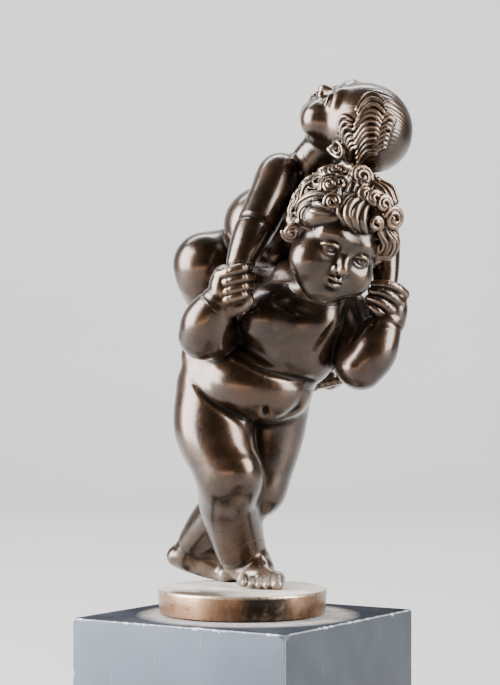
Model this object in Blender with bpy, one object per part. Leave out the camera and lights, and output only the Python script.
"""Bronze putti group on a square stone plinth.

One putto strides forward, bent over, and carries a second putto back to back, held by the wrists.
Both are one casting with the round base that they stand on. The plinth is a separate block of stone.
Metres, +Z up, origin at the middle of the plinth's underside. The plinth's sides face X and Y.
"""

import math

import bmesh
import bpy
import numpy as np
from mathutils import Matrix, Vector

# driving sizes, in metres
FIGURE_HEIGHT = 0.1957       # from the top of the round base to the top of the upper head
BASE_DIAMETER = 0.0660       # the round bronze base
BASE_THICKNESS = 0.0096
BASE_EDGE = 0.0009           # rounding of the base's top edge
BASE_EDGE_STEPS = 2
BASE_DRAFT = 0.0006          # how much the base narrows to its underside
PLINTH_SIDE = 0.0960         # the square stone block
PLINTH_HEIGHT = 0.0700
PLINTH_CHAMFER = 0.0006
PLINTH_CHIP = 0.0042         # how far the broken top corner reaches along each edge
CHIP_FACETS = ((1.0, (1.0, -0.55, 0.9)), (0.75, (0.35, -1.0, 0.7)))   # size and way of each broken facet
CHIP_DEPTH = 0.42            # depth of a facet, as a share of its reach
SEAT_GAP = 0.0003            # between the bronze base and the stone
GROUP_TURN = math.radians(32.5)   # the group faces a corner of the plinth
GROUP_OFFSET = (-0.0010, 0.0016)  # and is fixed a little off its centre, to its own right and back

# The figures are drawn in units of their own height. Front is -y, the carrier's left is +x, z is up
# from the top of the base, and the drawing is this many units high.
DRAWN_HEIGHT = 195.7
UNIT = FIGURE_HEIGHT / DRAWN_HEIGHT
CLAY_STEP = 0.8              # spacing of the clay's grid, in drawing units
EVEN_FACES = 15000           # triangles that the two figures are first thinned to
FIGURE_FACES = 9200          # and those left once the plainer body and limbs are thinned further
FINE_PLACES = ((-2, -32, 118), (54, -16, 114), (7, 0, 4), (-4, 24, 4))   # hands and feet, in drawing units
FINE_REACH = 12.0
HEAD_REACH = 1.25            # as a share of half the head's height
MERGE_DISTANCE = 1e-6        # points of the base this close are one
ROUND_STEPS = 48             # facets round the base
FAR = 30.0

# box of the clay, in drawing units
CLAY_LOW = (-42.0, -60.0, -3.0)
CLAY_HIGH = (76.0, 66.0, 202.0)


def unit(vector):
    vector = np.asarray(vector, float)
    return vector / np.linalg.norm(vector)


def axes_along(up, front):
    """Left, up and front of a body part: up as given, front made square to it."""
    up = unit(up)
    front = np.asarray(front, float)
    front = unit(front - up * np.dot(front, up))
    return np.cross(up, front), up, front


def smooth_curve(rows, steps):
    """Rows (x, y, z, radius) along a Catmull-Rom curve through the rows given."""
    rows = np.asarray(rows, float)
    if len(rows) < 3:
        share = np.linspace(0, 1, steps + 1)[:, None]
        return rows[0] + (rows[-1] - rows[0]) * share
    ends = np.vstack([2 * rows[0] - rows[1], rows, 2 * rows[-1] - rows[-2]])
    found = []
    for i in range(len(rows) - 1):
        a, b, c, d = ends[i:i + 4]
        for t in np.arange(steps) / steps:
            linear = (c - a) * t
            square = (2 * a - 5 * b + 4 * c - d) * t ** 2
            cubic = (3 * b - a - 3 * c + d) * t ** 3
            found.append(0.5 * (2 * b + linear + square + cubic))
    found.append(rows[-1])
    return np.array(found)


class Clay:
    """A block of clay: distances to the surface on a regular grid, negative inside it."""

    def __init__(self, low, high, step):
        self.step = step
        self.low = np.asarray(low, float)
        self.count = np.ceil((np.asarray(high, float) - self.low) / step).astype(int) + 1
        self.value = np.full(tuple(self.count), FAR, np.float32)

    def window(self, low, high):
        """The part of the grid inside a box, and its coordinates along each axis."""
        cut = []
        places = []
        for i in range(3):
            first = max(int(np.floor((low[i] - self.low[i]) / self.step)), 0)
            last = min(int(np.ceil((high[i] - self.low[i]) / self.step)) + 1, self.count[i])
            cut.append(slice(first, max(last, first)))
            places.append((self.low[i] + self.step * np.arange(first, max(last, first))).astype(np.float32))
        x, y, z = np.meshgrid(*places, indexing="ij", sparse=True)
        return tuple(cut), x, y, z

    def blank(self, low, high):
        """Empty clay on the same grid, for a limb that is shaped by itself before it is joined on."""
        first = np.maximum(np.floor((np.asarray(low, float) - self.low) / self.step), 0)
        top = self.low + (self.count - 1) * self.step
        return Clay(self.low + first * self.step, np.minimum(high, top), self.step)

    def blend_in(self, cut, shape, blend):
        old = self.value[cut]
        near = np.maximum(blend - np.abs(old - shape), 0)
        np.minimum(old, shape, out=old)
        if blend > 0:
            old -= near * near * (0.25 / blend)

    def merge(self, other, blend):
        """Joins other clay on, with a soft fillet about as wide as the blend."""
        first = np.round((other.low - self.low) / self.step).astype(int)
        last = np.minimum(first + other.count, self.count)
        here = tuple(slice(a, b) for a, b in zip(first, last))
        there = tuple(slice(0, b - a) for a, b in zip(first, last))
        self.blend_in(here, other.value[there], blend)

    def add(self, shape, blend=0.0):
        low, high, distance = shape
        pad = blend + 2 * self.step
        cut, x, y, z = self.window(low - pad, high + pad)
        if min(x.size, y.size, z.size):
            self.blend_in(cut, distance(x, y, z), blend)

    def cut(self, shape, blend):
        low, high, distance = shape
        pad = blend + 2 * self.step
        window, x, y, z = self.window(low - pad, high + pad)
        old = self.value[window]
        hole = -distance(x, y, z)
        near = np.maximum(blend - np.abs(old - hole), 0)
        np.maximum(old, hole, out=old)
        old += near * near * (0.25 / blend)

    def press(self, rows, width, depth):
        """Presses a soft groove along a curve. A row is (x, y, z, strength)."""
        path = smooth_curve(rows, 6)
        reach = 2.6 * width
        cut, x, y, z = self.window(path[:, :3].min(axis=0) - reach, path[:, :3].max(axis=0) + reach)
        shape = np.broadcast_shapes(x.shape, y.shape, z.shape)
        deepest = np.zeros(shape, np.float32)
        for a, b in zip(path[:-1], path[1:]):
            share, across, _ = from_segment(a, b, x, y, z)
            strength = a[3] + share * (b[3] - a[3])
            np.maximum(deepest, strength * np.exp(-across / width ** 2), out=deepest)
        self.value[cut] += depth * deepest


def from_segment(a, b, x, y, z):
    """For each grid point: how far along the segment it is, its squared distance, and its offset."""
    way = b[:3] - a[:3]
    length = max(float(np.dot(way, way)), 1e-9)
    share = ((x - a[0]) * way[0] + (y - a[1]) * way[1] + (z - a[2]) * way[2]) / length
    share = np.clip(share, 0, 1)
    offset = (x - a[0] - share * way[0], y - a[1] - share * way[1], z - a[2] - share * way[2])
    return share, offset[0] ** 2 + offset[1] ** 2 + offset[2] ** 2, offset


def egg(centre, radii, axes=((1, 0, 0), (0, 1, 0), (0, 0, 1))):
    """An ellipsoid with its radii along the axes given."""
    centre = np.asarray(centre, float)
    radii = np.asarray(radii, float)
    axes = np.array([unit(axis) for axis in axes])
    reach = np.sqrt(((axes * radii[:, None]) ** 2).sum(axis=0))

    def distance(x, y, z):
        size = 0
        slope = 0
        for axis, radius in zip(axes, radii):
            along = (x - centre[0]) * axis[0] + (y - centre[1]) * axis[1] + (z - centre[2]) * axis[2]
            size = size + (along / radius) ** 2
            slope = slope + (along / radius ** 2) ** 2
        size = np.sqrt(size)
        return size * (size - 1) / np.maximum(np.sqrt(slope), 1e-6)

    return centre - reach, centre + reach, distance


def ball(centre, radius):
    return egg(centre, (radius, radius, radius))


def limb(rows, steps=10):
    """A round limb along a curve. A row is (x, y, z, radius)."""
    path = smooth_curve(rows, steps)
    low = (path[:, :3] - path[:, 3:4]).min(axis=0)
    high = (path[:, :3] + path[:, 3:4]).max(axis=0)

    def distance(x, y, z):
        nearest = np.full(np.broadcast_shapes(x.shape, y.shape, z.shape), FAR, np.float32)
        for a, b in zip(path[:-1], path[1:]):
            share, across, _ = from_segment(a, b, x, y, z)
            np.minimum(nearest, np.sqrt(across) - (a[3] + share * (b[3] - a[3])), out=nearest)
        return nearest

    return low, high, distance


class Head:
    """A head's place, axes and size. Its shapes are given as shares of half its height."""

    def __init__(self, centre, front, up, size, scalp_centre, scalp_radii):
        self.centre = np.asarray(centre, float)
        self.scalp_centre = scalp_centre
        self.scalp_radii = np.asarray(scalp_radii) * size
        self.left, self.up, self.front = axes_along(up, front)
        self.axes = (self.left, self.front, self.up)
        self.size = size

    def way(self, left, front, up):
        return left * self.left + front * self.front + up * self.up

    def at(self, left, front, up):
        return self.centre + self.size * self.way(left, front, up)

    def row(self, left, front, up, radius):
        return tuple(self.at(left, front, up)) + (radius * self.size,)

    def egg(self, place, radii):
        return egg(self.at(*place), np.asarray(radii) * self.size, self.axes)

    def blank(self, clay):
        reach = 1.4 * self.size
        return clay.blank(self.centre - reach, self.centre + reach)


CARRIER_HEAD = Head((35.4, -29, 136.4), (0.40, -0.90, 0.0), (0.45, -0.25, 0.86), 23.5,
                    (0.06, -0.16, 0.23), (0.80, 0.84, 0.80))
RIDER_HEAD = Head((44.2, -16.1, 179.4), (-0.52, -0.17, 0.83), (0.71, -0.66, 0.26), 20.8,
                  (0, -0.16, 0.21), (0.80, 0.84, 0.79))

# Hair is placed by angles on the scalp, in degrees: turn from the face towards the figure's left, and rise.
# The carrier's snail curls: turn, rise, lift off the scalp, radius, turns of the spiral, direction, and how
# much the curl is turned to face forward rather than straight out of the scalp.
FACE_CURLS = (
    (-69, -29, 2.6, 4.2, 1.3, 1, 2.2),
    (-42, 21, 2.8, 4.1, 1.2, -1, 0.5),
    (8, 20, 3.0, 3.8, 1.1, 1, 0.4),
    (27, 29, 4.6, 5.4, 1.4, -1, 0.9),
    (-14, 47, 2.2, 3.0, 1.0, 1, 0.7),
    (0, 46, 2.8, 3.7, 1.1, 1, 0.8),
    (13, 44, 3.4, 3.9, 1.1, 1, 0.9),
    (-34, 66, 2.2, 5.4, 1.4, 1, 1.1),
    (-60, 35, 1.8, 4.3, 1.2, -1, 0.3),
    (-88, 55, 1.4, 4.0, 1.2, 1, 0.3),
    (-98, 8, 0.8, 3.6, 1.1, -1, 0.3),
)

# the carrier's thicker locks: rows of turn, rise, lift off the scalp and radius
FACE_LOCKS = (
    ((-60, -6, -0.8, 4.0), (-54, -1, -0.5, 4.9), (-46, 4, -0.2, 4.4), (-36, 9, 0.2, 3), (-28, 15, 0.2, 1.6)),
    ((-58, 12, 2.2, 1.3), (-65, 3, 3, 1.8), (-66, -6, 3, 1.9), (-59, -14, 2.4, 1.7), (-49, -15, 1.6, 1.3)),
    ((-82, -12, 0.4, 1.8), (-77, 2, 1.6, 2.2), (-68, 14, 1.8, 2.3), (-56, 23, 1.4, 2.0), (-48, 25, 0.8, 1.4)),
    ((-28, 32, -0.8, 3.2), (-17, 24, -0.6, 3.8), (-6, 19, -0.6, 3.6), (6, 18, -0.6, 3.0)),
    ((-21, 42, 1.6, 1.3), (-32, 34, 2.0, 1.5), (-33, 23, 2.2, 1.5), (-30, 15, 2.0, 1.5), (-19, 8, 1.2, 1.3)),
    ((-17, 39, 1.8, 1.3), (-24, 30, 2.6, 1.6), (-24, 20, 2.9, 1.7), (-18, 12, 2.5, 1.6), (-8, 7, 1.2, 1.3)),
    ((-11, 38, 1.8, 1.3), (-16, 28, 2.8, 1.6), (-15, 18, 3.1, 1.7), (-10, 12, 2.6, 1.5), (-3, 9, 1.4, 1.2)),
    ((-5, 37, 1.8, 1.3), (-8, 27, 2.8, 1.6), (-7, 19, 3.1, 1.7), (-2, 13, 2.6, 1.5), (4, 10, 1.4, 1.2)),
    ((10, 32, -0.4, 3.4), (22, 31, 0.4, 4.4), (34, 24, 0.4, 4.4), (38, 12, 0.0, 3.4)),
    ((-3, 67, 1.8, 1.5), (16, 57, 2.8, 1.9), (22, 48, 3.0, 1.6)),
    ((13, 66, 2.4, 1.5), (28, 58, 3.2, 1.9), (34, 48, 3.2, 1.6)),
    ((39, 71, 2.4, 1.5), (48, 60, 3.4, 2.0), (46, 48, 3.4, 1.7)),
    ((-82, 3, 1.0, 1.6), (-88, 16, 1.5, 1.9), (-86, 29, 1.2, 1.6)),
    ((-68, 27, 1.2, 1.6), (-77, 37, 1.6, 2.0), (-74, 48, 1.2, 1.6)),
    ((-99, -2, 0.6, 1.6), (-96, -12, 1.2, 2.0), (-92, -22, 0.8, 1.6)),
    ((27, 19, 2.2, 1.9), (38, 9, 3.6, 3.0), (40, -3, 3.4, 2.9), (33, -10, 2.2, 1.7)),
    ((20, 14, 1.4, 1.5), (31, 5, 2.2, 2.0), (33, -5, 1.8, 1.8), (26, -11, 1.0, 1.4)),
)
CURL_TRIES = 90              # places tried for the other curls, spread evenly from the crown down
CURL_SPREAD = 1.72           # how far down they go, where 2 reaches the lowest point of the scalp
CURL_FIRST_TURN = 23
CURL_LIFT = 0.6
FACE_HALF_WIDTH = 95         # no such curl is put this close in front, below this rise
FACE_TOP = 30
CURL_SPACING = 0.40          # least distance between their middles, as a share of the scalp's radius
CURL_RADIUS = 5.0
CURL_TURNS = 1.2
CURL_THICKNESS = 0.30        # radius of the lock that is wound, as a share of the curl's radius

# rows of waves on the rider's hair: rows of turn and rise along the middle of each, and half its width
WAVE_ROWS = (
    (((48, 3), (67, 5), (84, 5), (98, 2)), 3.9),
    (((9, 38), (41, 45), (67, 40), (88, 32), (107, 21), (115, 15)), 5.2),
    (((50, 68), (89, 60), (108, 45), (120, 31)), 3.4),
)
WAVE_TAPER = 0.40            # how much narrower a row gets towards its end
WAVE_PITCH = 3.6
WAVE_RADIUS = 1.35


def carrier_torso(clay):
    """Rump, waist, a belly that hangs forward, the bent rib cage and the rounded back."""
    body = clay.blank((-40, -40, 40), (58, 36, 140))
    hips = ((0.95, 0.0, -0.28), (0.28, -0.30, 0.90), (0.0, 0.95, 0.30))
    belly = ((0.95, 0.0, -0.28), (0.0, -1.0, -0.25), (0.28, -0.25, 0.93))
    up = unit((0.48, -0.41, 0.78))
    ribs = (hips[0], up, np.cross(hips[0], up))
    body.add(egg((0, 9, 75), (25.5, 15, 15)))
    body.add(egg((2.5, 1, 86), (27, 17, 15), hips), 5)
    body.add(egg((5.5, -5.5, 80), (22, 17, 15.5), belly), 4)
    body.add(egg((17.5, -8, 98.5), (20.5, 18, 16), ribs), 3)
    body.add(egg((24.5, 2, 112.5), (16, 15, 15), ribs), 6)
    for place in ((27.5, -17.5, 104), (9, -18.5, 105.5)):
        body.add(egg(place, (10, 8.5, 8.5)), 6)
    clay.merge(body, 0)
    clay.add(limb(((26, -8, 110, 12), (31, -18, 120, 11), (34.5, -24, 129, 12))), 6)


def carrier_legs(clay):
    """The right leg steps forward under the body. The left leg trails behind it, heel raised."""
    leg = clay.blank((-38, -40, -3), (24, 32, 100))
    leg.add(limb(((-9.5, 2, 78, 16.5), (-11, -4, 63, 15.6), (-7.2, -9, 50.5, 13.2), (-4.6, -10, 43, 12))))
    calf = ((-4.6, -9, 44, 12), (-5.2, -2, 35, 12), (-2.6, 5.5, 25, 10.6), (2, 12, 14.5, 8),
            (4.2, 14.5, 8, 7))
    leg.add(limb(calf), 4)
    leg.add(ball((-2, -15.5, 47), 7.6), 5)
    clay.merge(leg, 2)
    leg = clay.blank((-40, -18, -3), (34, 50, 98))
    leg.add(limb(((12, 9, 76, 15.2), (11.4, 9, 62, 13.4), (9.5, 7, 49, 11.4), (6.4, 6, 38, 10.2))))
    calf = ((6.4, 6, 39, 10), (-2, 13, 32.5, 11.6), (-11, 21, 24.2, 10), (-19, 28, 14.5, 6.8),
            (-21.6, 30, 10.6, 5.8))
    leg.add(limb(calf), 4)
    clay.merge(leg, 2)


def body_folds(clay):
    """The folds below the ribs and the belly, the cleft behind, the navel and the hollow at the neck."""
    below_ribs = ((-8, -22, 95, 0.2), (2, -24, 88.5, 1), (14, -23.5, 84, 1), (26, -17, 81.5, 0.6),
                  (31, -9, 82, 0.2))
    clay.press(below_ribs, 1.6, 1.3)
    below_belly = ((-12, -17, 74, 0.6), (-3, -19, 68, 1), (4, -19, 64.5, 1), (13, -18, 65, 1),
                   (20, -14, 70, 0.6))
    clay.press(below_belly, 1.8, 1.3)
    clay.press(((3, 25, 84, 0.3), (3.5, 25, 77, 1), (3, 22, 68, 1), (3, 16, 62, 0.6)), 2.2, 2.6)
    clay.press(((9.5, -21.6, 69.8, 1), (9.6, -21.6, 68.8, 1)), 1.5, 1.6)
    clay.press(((10, -18, 112, 0.3), (20, -24, 108, 0.8), (30, -25, 104, 0.3)), 1.8, 0.7)


def toes(foot, start, tip, spread, sizes, blend=0.8):
    """Five toes side by side, the largest last, each from the ball of the foot to its tip."""
    start = np.asarray(start, float)
    tip = np.asarray(tip, float)
    for number, size in enumerate(sizes):
        side = (number - 2) * np.asarray(spread, float)
        foot.add(limb((tuple(start + side) + (size + 0.3,), tuple(tip + side) + (size,)), 4), blend)


def carrier_feet(clay):
    foot = clay.blank((-14, -16, -3), (28, 32, 22))
    foot.add(limb(((3.8, 19.5, 5.6, 6.2), (4.6, 14, 7.4, 6.8), (6.6, 7, 6.6, 6), (7.6, 1.5, 4.8, 5))))
    foot.add(limb(((1.6, 3.2, 3.1, 3.6), (7.4, 0, 3.4, 4.1), (13.2, 0.6, 3.0, 3.6))), 3)
    toes(foot, (6.9, 0, 2.9), (6.3, -5, 2.1), (3.6, -0.7, 0), (1.9, 2.0, 2.1, 2.3, 2.9))
    clay.merge(foot, 2)
    foot = clay.blank((-40, 8, -3), (20, 48, 26))
    instep = ((-25.8, 32.5, 8.6, 4.8), (-20.5, 29.5, 7.8, 5.6), (-12, 26, 5.8, 5.4), (-5.5, 23.5, 4.6, 4.3))
    foot.add(limb(instep))
    foot.add(limb(((-9.0, 19.6, 3.4, 3.0), (-6.5, 24, 3.8, 3.8), (-4.4, 29, 3.2, 3.2))), 2.5)
    toes(foot, (-6.5, 24, 3.2), (1.4, 20.8, 2.4), (1.1, 2.7, 0), (1.9, 2.0, 2.1, 2.2, 2.8))
    clay.merge(foot, 2.5)


def carrier_arms(clay):
    """Both elbows hang down and both fists come up to the shoulders."""
    arm = clay.blank((-36, -46, 78), (26, 14, 134))
    arm.add(limb(((-0.5, -3, 107.5, 9.6), (-7, -11, 102.5, 8.6), (-12.6, -19, 98, 8.6))))
    forearm = ((-14.8, -22.5, 98.5, 9.6), (-13.6, -26.5, 103.5, 9.2), (-9.6, -29, 109.5, 7.4),
               (-5.6, -29.5, 114.5, 6))
    arm.add(limb(forearm), 1.8)
    clay.merge(arm, 2.5)
    arm = clay.blank((24, -40, 66), (76, 20, 126))
    arm.add(limb(((40, -1, 106.5, 10.5), (42.5, -7, 98, 9.6), (44, -13, 88, 8.7))))
    forearm = ((45.5, -15.5, 86.5, 9.2), (50, -16.5, 92, 9.2), (53.4, -15.5, 100, 7.6),
               (56.4, -13.5, 107, 5.8))
    arm.add(limb(forearm), 1.6)
    clay.merge(arm, 2)


def carrier_hands(clay):
    """Each fist closes round one of the rider's wrists, four fingers across its front."""
    hand = clay.blank((-24, -48, 98), (16, -12, 136))
    hand.add(limb(((-5.4, -29.5, 111, 5.8), (-6.4, -30.2, 116, 6.3), (-6.2, -30.2, 120, 5.2))))
    hand.add(limb(((-7.6, -32.4, 112.4, 3.2), (-7.8, -32.8, 117, 3.2), (-6.8, -32.0, 121, 2.5))), 2)
    for height, reach, size in ((120.9, 2.6, 1), (117.3, 3.3, 1.02), (113.9, 3.2, 0.98), (110.9, 2.6, 0.86)):
        finger = ((-8.4, -32.6, height, 2.3 * size), (-4.4, -36.0, height + 1.1, 2.1 * size),
                  (0.2, -36.2, height + 2.7, 1.9 * size), (reach, -32.8, height + 3.0, 1.7 * size))
        hand.add(limb(finger, 5), 0.4)
    hand.add(limb(((-5.5, -31.5, 108.2, 3.8), (-1.5, -32.4, 109.4, 3.2), (2.2, -31.8, 111.4, 2.4)), 5), 1.5)
    clay.merge(hand, 0.8)
    hand = clay.blank((38, -36, 98), (74, 4, 132))
    hand.add(limb(((57.0, -13.5, 104, 5.8), (57.8, -14, 108.5, 5.8), (58.0, -14.4, 113, 5.0))))
    fingers = (((61.8, -14.8, 114.2), (58.8, -18.2, 116.8), (54.6, -19.8, 118.0), (50.6, -18.6, 118.2)),
               ((60.4, -16.2, 110.4), (57.0, -19.6, 113.2), (53.2, -20.4, 115.0), (49.4, -18.8, 115.6)),
               ((57.8, -17.2, 107.0), (54.8, -19.8, 109.9), (51.6, -20.4, 111.9), (48.4, -18.6, 112.7)),
               ((54.8, -17.4, 104.6), (52.4, -19.4, 107.2), (50.2, -19.6, 109.0), (48.2, -18.0, 110.0)))
    for finger in fingers:
        rows = [place + (radius,) for place, radius in zip(finger, (2.4, 2.0, 1.75, 1.6))]
        hand.add(limb(rows, 5), 0.4)
    clay.merge(hand, 0.8)


def rider_torso(clay):
    """The rider lies on the carrier's back, belly up, so the two are back to back."""
    body = clay.blank((-30, -30, 96), (70, 66, 190))
    axes = axes_along((0.55, -0.58, 0.60), (-0.30, 0.60, 0.75))
    body.add(egg((26.5, 6.5, 153), (18.5, 15, 13.5), axes))
    body.add(egg((14.5, 15, 142), (20.5, 17, 16.5), axes), 5)
    body.add(egg((9, 12, 140.5), (17, 15, 17), axes), 4)
    body.add(egg((6, 28, 130), (19.5, 14, 15.5), axes), 4)
    clay.merge(body, 4)
    clay.add(limb(((23, 0, 160, 9), (28, -5, 167.5, 8), (36, -8, 175, 9))), 4)


def rider_arms(clay):
    """They are drawn back over the carrier's shoulders, down to the fists that hold them."""
    upper = ((17, -1, 159, 9), (14.2, -8, 160.5, 8.6), (11, -14, 153, 8.2), (7.2, -19.5, 144, 8))
    lower = ((3, -24.5, 135, 7.2), (-0.8, -28.8, 125, 5.4), (-1.6, -30, 119, 4.4), (0, -30.5, 113, 4.2))
    clay.add(limb(upper + lower), 2.5)
    upper = ((43, 15, 154, 8.6), (48, 8, 152, 7.8), (52, 0, 145.5, 7.2), (54.4, -7, 136, 6.6))
    lower = ((55.2, -11.5, 124, 5.3), (54.5, -13.5, 115, 4.4), (52.5, -14.5, 108, 4))
    clay.add(limb(upper + lower), 2)


def rider_legs(clay):
    """The left leg is drawn up and folded. The right leg hangs down behind the carrier's side."""
    leg = clay.blank((-40, 2, 88), (30, 62, 154))
    leg.add(limb(((4, 30, 128, 14), (-6, 25, 128, 13.6), (-14.6, 20, 127, 13.2))))
    calf = ((-15.5, 20, 121.5, 10.8), (-12.5, 26, 114, 9.8), (-7, 32, 107, 8.2), (-2.5, 36, 102, 5.8))
    leg.add(limb(calf), 1.6)
    clay.merge(leg, 2)
    leg = clay.blank((4, 10, 64), (60, 66, 146))
    leg.add(limb(((14, 37, 125, 14), (23, 41, 117, 12.6), (31, 41, 107, 10.8))))
    leg.add(limb(((32, 40, 104, 9.6), (35.4, 36.5, 97, 9), (37, 33, 90, 6.4), (37, 31, 86, 5.4))), 2)
    clay.merge(leg, 2.5)
    foot = clay.blank((-20, 16, 76), (26, 62, 118))
    foot.add(limb(((-2, 38, 101, 5.6), (3, 35, 97.5, 5.2), (8.5, 30.5, 95, 4.2))))
    toes(foot, (7.5, 32, 95.4), (11.9, 27.8, 93.6), (1.5, 2, -0.3), (1.7, 1.8, 1.8, 1.9, 2.4))
    clay.merge(foot, 2)
    foot = clay.blank((20, 4, 62), (60, 50, 104))
    foot.add(limb(((37.5, 33.5, 85, 5.4), (36.5, 29, 82.6, 5.2), (34.8, 22.5, 81, 4.2))))
    toes(foot, (34.6, 23.6, 80.8), (34, 18.8, 80), (-2.5, 0.3, -0.5), (1.8, 1.9, 2.0, 2.1, 2.6))
    clay.merge(foot, 2)


def bare_head(clay, head):
    """Skull, full cheeks, chin and a calm, plain child's face."""
    block = head.blank(clay)
    s = head.size
    block.add(head.egg((0, -0.12, 0.17), (0.76, 0.83, 0.77)))
    block.add(head.egg((0, 0.16, -0.22), (0.63, 0.62, 0.72)), 0.2 * s)
    for side in (-1, 1):
        block.add(ball(head.at(0.34 * side, 0.38, -0.44), 0.36 * s), 0.16 * s)
    block.add(head.egg((0, 0.30, -0.60), (0.46, 0.40, 0.36)), 0.2 * s)
    block.add(ball(head.at(0, 0.50, -0.78), 0.2 * s), 0.3 * s)
    for side in (-1, 1):
        block.cut(head.egg((0.29 * side, 0.86, -0.08), (0.19, 0.16, 0.13)), 0.14 * s)
        block.add(ball(head.at(0.28 * side, 0.61, -0.09), 0.16 * s), 0.02 * s)
        block.add(ball(head.at(0.085 * side, 0.82, -0.345), 0.065 * s), 0.05 * s)
    nose = ((0.74, -0.04, 0.06), (0.80, -0.16, 0.062), (0.90, -0.29, 0.085), (0.885, -0.335, 0.075))
    block.add(limb([head.row(0, *place) for place in nose], 4), 0.09 * s)
    block.add(head.egg((0, 0.70, -0.52), (0.19, 0.12, 0.13)), 0.12 * s)
    for height, out, thick in ((-0.495, 0.82, 0.04), (-0.595, 0.80, 0.05)):
        lip = [head.row(side, out - 2 * side ** 2, height, thick) for side in (-0.12, 0, 0.12)]
        block.add(limb(lip, 5), 0.03 * s)
    clay.merge(block, 2.5)


def scalp(head, turn, rise, lift=0.0):
    """The place over the scalp at these angles, and the way straight out of it."""
    radii = head.scalp_radii
    turn, rise = math.radians(turn), math.radians(rise)
    way = np.array((math.sin(turn) * math.cos(rise), math.cos(turn) * math.cos(rise), math.sin(rise)))
    spot = way / np.sqrt(((way / radii) ** 2).sum())
    out = head.way(*unit(spot / radii ** 2))
    return head.at(*head.scalp_centre) + head.way(*spot) + lift * out, out


def scalp_lock(clay, head, rows, blend=0.4):
    """A lock of hair along the scalp. A row is (turn, rise, lift, radius)."""
    path = [tuple(scalp(head, turn, rise, lift)[0]) + (radius,) for turn, rise, lift, radius in rows]
    clay.add(limb(path, 6), blend)


def curl(clay, head, place, radius, turns, hand, start=0.0, forward=0.0):
    """A snail curl on a low cushion of hair, its middle standing highest. Place: turn, rise and lift."""
    centre, out = scalp(head, *place)
    cushion = centre - 0.8 * out
    out = unit(out + forward * head.front)
    side = unit(np.cross(out, head.up if abs(np.dot(out, head.up)) < 0.9 else head.front))
    other = np.cross(out, side)
    clay.add(egg(cushion, (0.85 * radius, 0.85 * radius, 1.7), (side, other, out)), 0.3)
    thick = CURL_THICKNESS * radius
    count = int(turns * 9)
    rows = []
    for i in range(count + 1):
        share = i / count
        reach = (radius - thick) * (1 - share) ** 0.9
        angle = start + hand * 2 * math.pi * turns * share
        height = 0.4 + 1.3 * share - reach ** 2 / (1.9 * head.size)
        spot = centre + reach * (math.cos(angle) * side + math.sin(angle) * other) + height * out
        rows.append(tuple(spot) + (thick * (1 - 0.15 * share),))
    clay.add(limb(rows, 1), 0.2)


def carrier_hair(clay):
    """A cap of hair, curls and locks round the face, and more curls spread evenly over the rest."""
    head = CARRIER_HEAD
    block = head.blank(clay)
    middle = head.at(*head.scalp_centre)
    block.add(egg(middle, head.scalp_radii, head.axes))
    block.cut(head.egg((0, 0.98, -0.55), (0.62, 0.75, 0.95)), 1)
    placed = []
    for rows in FACE_LOCKS:
        scalp_lock(block, head, rows)
        placed += [unit(scalp(head, turn, rise)[0] - middle) for turn, rise, _, _ in rows]
    for number, (turn, rise, lift, radius, turns, hand, forward) in enumerate(FACE_CURLS):
        curl(block, head, (turn, rise, lift), radius, turns, hand, 1.3 * number, forward)
        placed.append(unit(scalp(head, turn, rise)[0] - middle))
    golden_angle = math.degrees(math.pi * (3 - math.sqrt(5)))
    for i in range(CURL_TRIES):
        rise = math.degrees(math.asin(1 - CURL_SPREAD * (i + 0.5) / CURL_TRIES))
        turn = (golden_angle * i + CURL_FIRST_TURN) % 360 - 180
        spot = unit(scalp(head, turn, rise)[0] - middle)
        on_face = abs(turn) < FACE_HALF_WIDTH and rise < FACE_TOP
        if not on_face and min(np.linalg.norm(spot - other) for other in placed) > CURL_SPACING:
            placed.append(spot)
            curl(block, head, (turn, rise, CURL_LIFT), CURL_RADIUS, CURL_TURNS, 1 if i % 3 else -1, 1.7 * i)
    clay.merge(block, 0.3)


def waves(clay, head, middle, half_width):
    """A row of crescent waves one behind the other along the scalp, each bowed towards the row's start."""
    path = smooth_curve([tuple(scalp(head, turn, rise)[0]) for turn, rise in middle], 12)
    length = np.linalg.norm(np.diff(path, axis=0), axis=1).sum()
    count = int(length / WAVE_PITCH)
    for number in range(count):
        place = (number + 0.5) / count * (len(path) - 1)
        spot = path[int(place)]
        ahead = unit(path[min(int(place) + 1, len(path) - 1)] - path[max(int(place) - 1, 0)])
        out = unit(spot - head.at(*head.scalp_centre))
        across = np.cross(out, ahead)
        width = half_width * (1 - WAVE_TAPER * number / count)
        rows = []
        for share in (-1, -0.5, 0, 0.5, 1):
            sag = width ** 2 * share ** 2 / (2 * head.scalp_radii[0])
            point = spot + width * share * across + 0.8 * width * share ** 2 * ahead - sag * out
            rows.append(tuple(point) + (WAVE_RADIUS * (1 - 0.45 * share ** 2),))
        clay.add(limb(rows, 4), 0.2)


def rider_hair(clay):
    """A close cap of combed hair with rows of waves over each ear."""
    head = RIDER_HEAD
    block = head.blank(clay)
    block.add(head.egg((0, -0.16, 0.20), (0.78, 0.83, 0.77)))
    block.cut(head.egg((0, 0.90, -0.60), (0.66, 0.75, 0.95)), 1)
    for side, wave_rows in ((1, WAVE_ROWS), (-1, WAVE_ROWS[:1])):
        for middle, half_width in wave_rows:
            waves(block, head, [(side * turn, rise) for turn, rise in middle], half_width)
    clay.merge(block, 0.5)


def ears(clay):
    head = RIDER_HEAD
    s = head.size
    rim = ((0.72, 0.02, -0.14), (0.80, -0.03, 0.02), (0.85, -0.18, 0.0), (0.81, -0.20, -0.14),
           (0.72, -0.06, -0.28))
    for side in (-1, 1):
        clay.add(limb([head.row(a * side, b, c, 0.065) for a, b, c in rim], 5), 0.04 * s)


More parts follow.
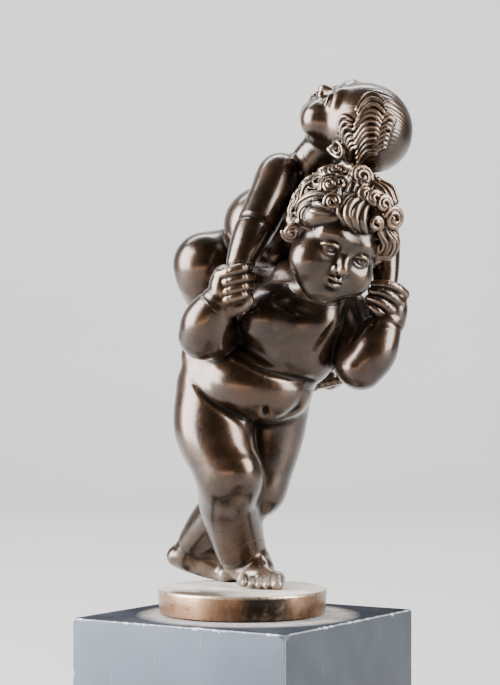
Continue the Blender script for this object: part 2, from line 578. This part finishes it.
def fill_doubtful(value):
    """Fills grid points where two sheets of the surface would meet at an edge or a point."""
    inner = (slice(0, -1), slice(1, None))
    for _ in range(12):
        changed = 0
        for axis in range(3):
            u, v = [i for i in range(3) if i != axis]
            corners = []
            for du, dv in ((0, 0), (1, 1), (0, 1), (1, 0)):
                cut = [slice(None)] * 3
                cut[u] = inner[du]
                cut[v] = inner[dv]
                corners.append(tuple(cut))
            inside = value < 0
            a, b, c, d = [inside[cut] for cut in corners]
            doubtful = (a & b & ~c & ~d) | (~a & ~b & c & d)
            changed += fill(value, doubtful, corners)
        inside = value < 0
        corners = [(inner[i], inner[j], inner[k]) for i in (0, 1) for j in (0, 1) for k in (0, 1)]
        count = sum(inside[cut].astype(np.int8) for cut in corners)
        for number in range(4):
            near = inside[corners[number]]
            opposite = inside[corners[7 - number]]
            doubtful = (near & opposite & (count == 2)) | (~near & ~opposite & (count == 6))
            changed += fill(value, doubtful, corners)
        if not changed:
            break


def fill(value, doubtful, corners):
    for cut in corners:
        part = value[cut]
        part[doubtful & (part >= 0)] = -1e-3
    return int(doubtful.sum())


def surface(clay):
    """Surface nets: a point in each cell that the surface crosses, and a square over each crossed edge."""
    value = clay.value
    inside = value < 0
    cells = tuple(s - 1 for s in value.shape)
    count = np.zeros(cells, np.int8)
    for i in (0, 1):
        for j in (0, 1):
            for k in (0, 1):
                count += inside[i:cells[0] + i, j:cells[1] + j, k:cells[2] + k]
    crossed_cells = np.argwhere((count > 0) & (count < 8))
    number = np.full(cells, -1, np.int32)
    number[tuple(crossed_cells.T)] = np.arange(len(crossed_cells))
    total = np.zeros((len(crossed_cells), 3))
    hits = np.zeros(len(crossed_cells))
    for axis in range(3):
        u, v = [i for i in range(3) if i != axis]
        for du in (0, 1):
            for dv in (0, 1):
                start = crossed_cells.copy()
                start[:, u] += du
                start[:, v] += dv
                end = start.copy()
                end[:, axis] += 1
                a = value[tuple(start.T)]
                b = value[tuple(end.T)]
                crossed = (a < 0) != (b < 0)
                spot = (start - crossed_cells).astype(float)
                spot[:, axis] += np.where(crossed, a / np.where(crossed, a - b, 1), 0)
                total[crossed] += spot[crossed]
                hits += crossed
    points = clay.low + clay.step * (crossed_cells + total / hits[:, None])
    faces = []
    for axis in range(3):
        u, v = (axis + 1) % 3, (axis + 2) % 3
        low = [slice(1, -1)] * 3
        high = [slice(1, -1)] * 3
        low[axis] = slice(0, -1)
        high[axis] = slice(1, None)
        first = inside[tuple(low)]
        second = inside[tuple(high)]
        for outward, hit in ((True, first & ~second), (False, ~first & second)):
            at = np.argwhere(hit)
            at[:, u] += 1
            at[:, v] += 1
            ring = []
            for du, dv in ((-1, -1), (0, -1), (0, 0), (-1, 0)):
                corner = at.copy()
                corner[:, u] += du
                corner[:, v] += dv
                ring.append(number[tuple(corner.T)])
            squares = np.stack(ring, axis=1)
            faces.append(squares if outward else squares[:, ::-1])
    return points, np.vstack(faces)


def largest_shell(points, faces):
    """Leaves out sealed hollows and loose specks: keeps the points and faces of the largest shell."""
    label = np.arange(len(points))
    while True:
        lowest = label[faces].min(axis=1)
        joined = label.copy()
        np.minimum.at(joined, faces.ravel(), np.repeat(lowest, faces.shape[1]))
        joined = joined[joined]
        if np.array_equal(joined, label):
            break
        label = joined
    kept = faces[label[faces[:, 0]] == np.bincount(label).argmax()]
    used, numbers = np.unique(kept, return_inverse=True)
    return points[used], numbers.reshape(kept.shape)


def sculpt():
    """The two figures as one surface, in drawing units."""
    clay = Clay(CLAY_LOW, CLAY_HIGH, CLAY_STEP)
    carrier_torso(clay)
    carrier_legs(clay)
    body_folds(clay)
    carrier_feet(clay)
    carrier_arms(clay)
    rider_torso(clay)
    rider_legs(clay)
    rider_arms(clay)
    bare_head(clay, CARRIER_HEAD)
    bare_head(clay, RIDER_HEAD)
    carrier_hair(clay)
    rider_hair(clay)
    ears(clay)
    carrier_hands(clay)
    fill_doubtful(clay.value)
    return largest_shell(*surface(clay))


def new_object(name, mesh, material):
    obj = bpy.data.objects.new(name, mesh)
    bpy.context.scene.collection.objects.link(obj)
    if material:
        mesh.materials.append(material)
    return obj


def plain_material(name, colour, metallic, roughness):
    material = bpy.data.materials.new(name)
    material.use_nodes = True
    shader = material.node_tree.nodes["Principled BSDF"]
    shader.inputs["Base Color"].default_value = (*colour, 1)
    shader.inputs["Metallic"].default_value = metallic
    shader.inputs["Roughness"].default_value = roughness
    return material


def round_base():
    """The turned base: its profile spun round the axis, its top at height 0."""
    top = BASE_DIAMETER / 2
    profile = [(0, -BASE_THICKNESS), (top - BASE_DRAFT, -BASE_THICKNESS), (top, -BASE_EDGE)]
    for part in range(1, BASE_EDGE_STEPS + 1):
        angle = part / BASE_EDGE_STEPS * math.pi / 2
        profile.append((top - BASE_EDGE * (1 - math.cos(angle)), -BASE_EDGE * (1 - math.sin(angle))))
    profile.append((0, 0))
    mesh = bmesh.new()
    points = [mesh.verts.new((radius, 0, height)) for radius, height in profile]
    edges = [mesh.edges.new(pair) for pair in zip(points[:-1], points[1:])]
    bmesh.ops.spin(mesh, geom=points + edges, axis=(0, 0, 1), cent=(0, 0, 0),
                   angle=2 * math.pi, steps=ROUND_STEPS, use_merge=True)
    bmesh.ops.remove_doubles(mesh, verts=mesh.verts, dist=MERGE_DISTANCE)
    bmesh.ops.recalc_face_normals(mesh, faces=mesh.faces)
    data = bpy.data.meshes.new("round_base")
    mesh.to_mesh(data)
    mesh.free()
    return data


def near_fine_forms(points):
    """Which points belong to the heads, hands and feet."""
    places = [(head.centre, HEAD_REACH * head.size) for head in (CARRIER_HEAD, RIDER_HEAD)]
    places += [(np.array(place), FINE_REACH) for place in FINE_PLACES]
    return np.any([np.linalg.norm(points - middle, axis=1) < reach for middle, reach in places], axis=0)


def bronze_group(material):
    """Both putti, thinned to few faces, and the round base, united in one casting."""
    points, faces = sculpt()
    data = bpy.data.meshes.new("putti_group")
    data.from_pydata((points * UNIT).tolist(), [], faces.tolist())
    data.validate()
    data.shade_smooth()
    place = Matrix.Translation((0, 0, PLINTH_HEIGHT + SEAT_GAP + BASE_THICKNESS))
    place = place @ Matrix.Rotation(GROUP_TURN, 4, "Z") @ Matrix.Translation((*GROUP_OFFSET, 0))
    base = new_object("round_base_form", round_base(), None)
    base.hide_render = True
    base.display_type = "WIRE"
    base.matrix_world = place
    group = new_object("putti_group", data, material)
    group.matrix_world = place
    even = group.modifiers.new("thin evenly", "DECIMATE")
    even.ratio = EVEN_FACES / (2 * len(faces))
    even.use_collapse_triangulate = True
    broad = group.vertex_groups.new(name="broad forms")
    broad.add(np.flatnonzero(~near_fine_forms(points)).tolist(), 1.0, "REPLACE")
    thin = group.modifiers.new("thin broad forms", "DECIMATE")
    thin.ratio = FIGURE_FACES / EVEN_FACES
    thin.use_collapse_triangulate = True
    thin.vertex_group = broad.name
    thin.vertex_group_factor = 1e-5
    union = group.modifiers.new("cast as one", "BOOLEAN")
    union.operation = "UNION"
    union.solver = "EXACT"
    union.object = base
    return group


def stone_plinth(material):
    """A square block with fine chamfers and one broken top corner."""
    mesh = bmesh.new()
    bmesh.ops.create_cube(mesh, size=1)
    bmesh.ops.scale(mesh, verts=mesh.verts, vec=(PLINTH_SIDE, PLINTH_SIDE, PLINTH_HEIGHT))
    bmesh.ops.translate(mesh, verts=mesh.verts, vec=(0, 0, PLINTH_HEIGHT / 2))
    bmesh.ops.bevel(mesh, geom=mesh.edges[:], offset=PLINTH_CHAMFER, segments=1, affect="EDGES")
    half = PLINTH_SIDE / 2
    corner = Vector((half, -half, PLINTH_HEIGHT))
    for share, normal in CHIP_FACETS:
        out = Vector(normal).normalized()
        inset = corner - out * CHIP_DEPTH * share * PLINTH_CHIP
        cut = bmesh.ops.bisect_plane(mesh, geom=mesh.verts[:] + mesh.edges[:] + mesh.faces[:],
                                     plane_co=inset, plane_no=out, clear_outer=True)
        rim = [edge for edge in cut["geom_cut"] if isinstance(edge, bmesh.types.BMEdge)]
        bmesh.ops.contextual_create(mesh, geom=rim)
    bmesh.ops.recalc_face_normals(mesh, faces=mesh.faces)
    data = bpy.data.meshes.new("stone_plinth")
    mesh.to_mesh(data)
    mesh.free()
    return new_object("stone_plinth", data, material)


def main():
    for obj in list(bpy.data.objects):
        bpy.data.objects.remove(obj, do_unlink=True)
    bronze = plain_material("patinated bronze", (0.10, 0.065, 0.04), 0.9, 0.35)
    stone = plain_material("black polished stone", (0.03, 0.033, 0.04), 0.0, 0.18)
    bronze_group(bronze)
    stone_plinth(stone)


main()
